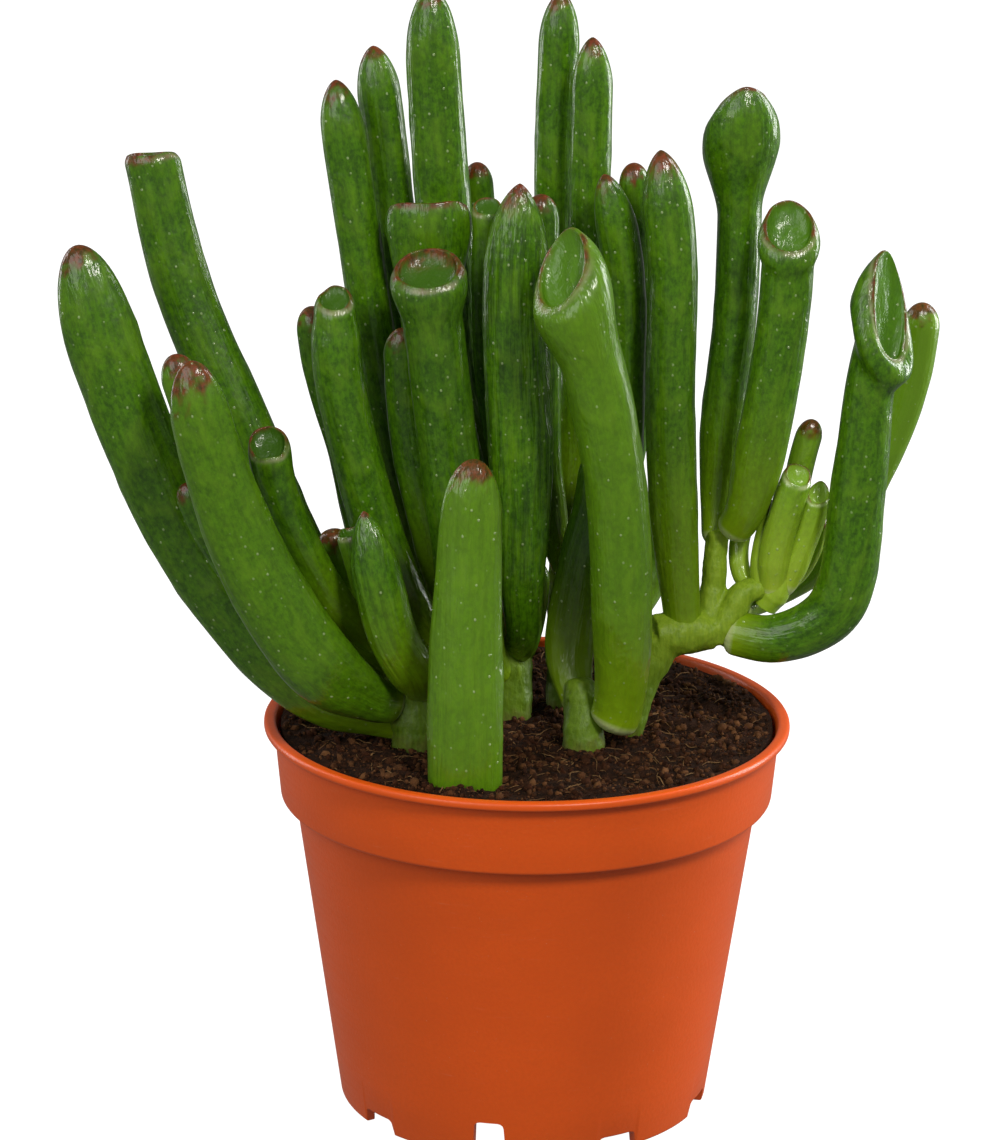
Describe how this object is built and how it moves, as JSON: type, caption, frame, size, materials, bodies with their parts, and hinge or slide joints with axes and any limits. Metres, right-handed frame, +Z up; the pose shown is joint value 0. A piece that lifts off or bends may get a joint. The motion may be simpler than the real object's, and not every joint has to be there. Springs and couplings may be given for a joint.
{
  "type": "finger-leaved jade plant in a nursery pot",
  "caption": "Potted succulent with upright tubular leaves, some pointed and some ending in a shallow cup, on short branching stems in a round tapered plastic pot with a lip and a notched foot.",
  "frame": {"origin": "middle of the part's outer box seen from above, on the plane the pot stands on; the pot's own axis lies 5.9 mm to the +X side of it", "axes": "+Z up along the pot's axis; -Y is the side seen in the picture, with +X to its right"},
  "size_m": [0.1948, 0.1198, 0.2552],
  "materials": {
    "pot": "satin terracotta-orange moulded plastic",
    "soil": "dark crumbly peat with pale fibres",
    "stem": "green stem, browner and drier towards the soil",
    "leaf": "glossy waxy green skin with red-brown tips and rims",
    "young_leaf": "paler waxy green skin with fine pale edges"
  },
  "bodies": {
    "root": {"pot": "pot", "soil": "soil", "stem_left": "stem", "stem_centre_left": "stem", "stem_centre": "stem", "stem_back": "stem", "stem_front": "stem", "stem_right": "stem", "leaf_left_outer": "leaf", "leaf_left_tall": "leaf", "leaf_left_front": "leaf", "leaf_left_peeping": "leaf", "leaf_left_small": "leaf", "leaf_left_sucker": "leaf", "leaf_left_blunt": "leaf", "leaf_left_bud": "leaf", "leaf_left_pointed": "leaf", "leaf_front_short": "leaf", "leaf_mid_far_left": "leaf", "leaf_mid_cup_left": "leaf", "leaf_tall_left": "leaf", "leaf_tall_left_back": "leaf", "leaf_mid_hidden_left": "leaf", "leaf_tall_centre": "leaf", "leaf_wide_cup": "leaf", "leaf_sucker_front": "leaf", "leaf_small_back": "leaf", "leaf_small_cup": "leaf", "leaf_centre_broad": "leaf", "leaf_centre_behind": "leaf", "leaf_tall_right_back": "leaf", "leaf_tall_right": "leaf", "leaf_right_leaning": "leaf", "leaf_right_small": "leaf", "leaf_low_dark": "leaf", "leaf_low_thin": "leaf", "leaf_front_oblique": "leaf", "leaf_right_straight": "leaf", "leaf_flared_paddle": "leaf", "leaf_right_cup": "leaf", "leaf_right_hook": "leaf", "leaf_right_behind": "leaf", "leaf_back_left": "leaf", "leaf_back_centre": "leaf", "leaf_back_right": "leaf", "leaf_back_far_right": "leaf", "leaf_back_low_left": "leaf", "leaf_back_low": "leaf", "young_shoot": "young_leaf"}
  },
  "joints": []
}
